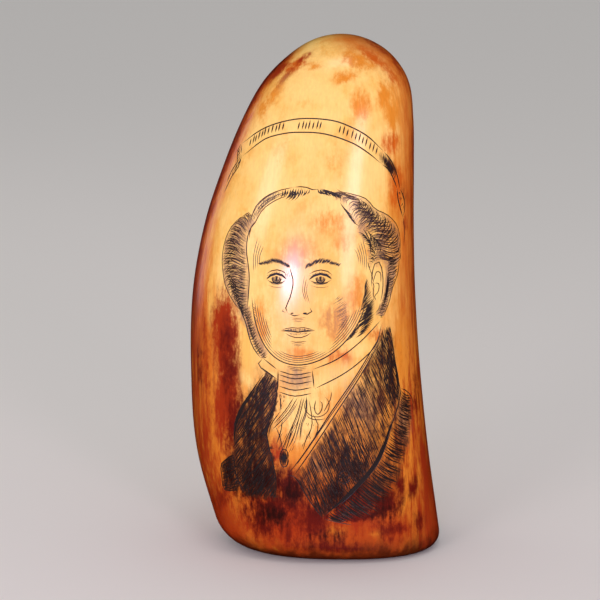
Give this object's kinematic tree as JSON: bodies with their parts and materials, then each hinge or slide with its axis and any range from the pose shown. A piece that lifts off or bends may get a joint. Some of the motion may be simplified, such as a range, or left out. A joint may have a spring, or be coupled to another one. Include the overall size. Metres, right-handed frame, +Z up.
{
  "type": "scrimshaw whale tooth",
  "caption": "Polished, stained whale tooth that stands on its sawn root, engraved on its front with a banner and a bust portrait.",
  "frame": {"origin": "on the surface the tooth stands on, under the middle of its outline", "axes": "+Z up towards the tip; the engraved front faces -Y; the tip leans towards +X"},
  "size_m": [0.0774, 0.0508, 0.158],
  "materials": {
    "ivory": "polished, stained"
  },
  "bodies": {
    "root": {"whale_tooth": "ivory"}
  },
  "joints": []
}
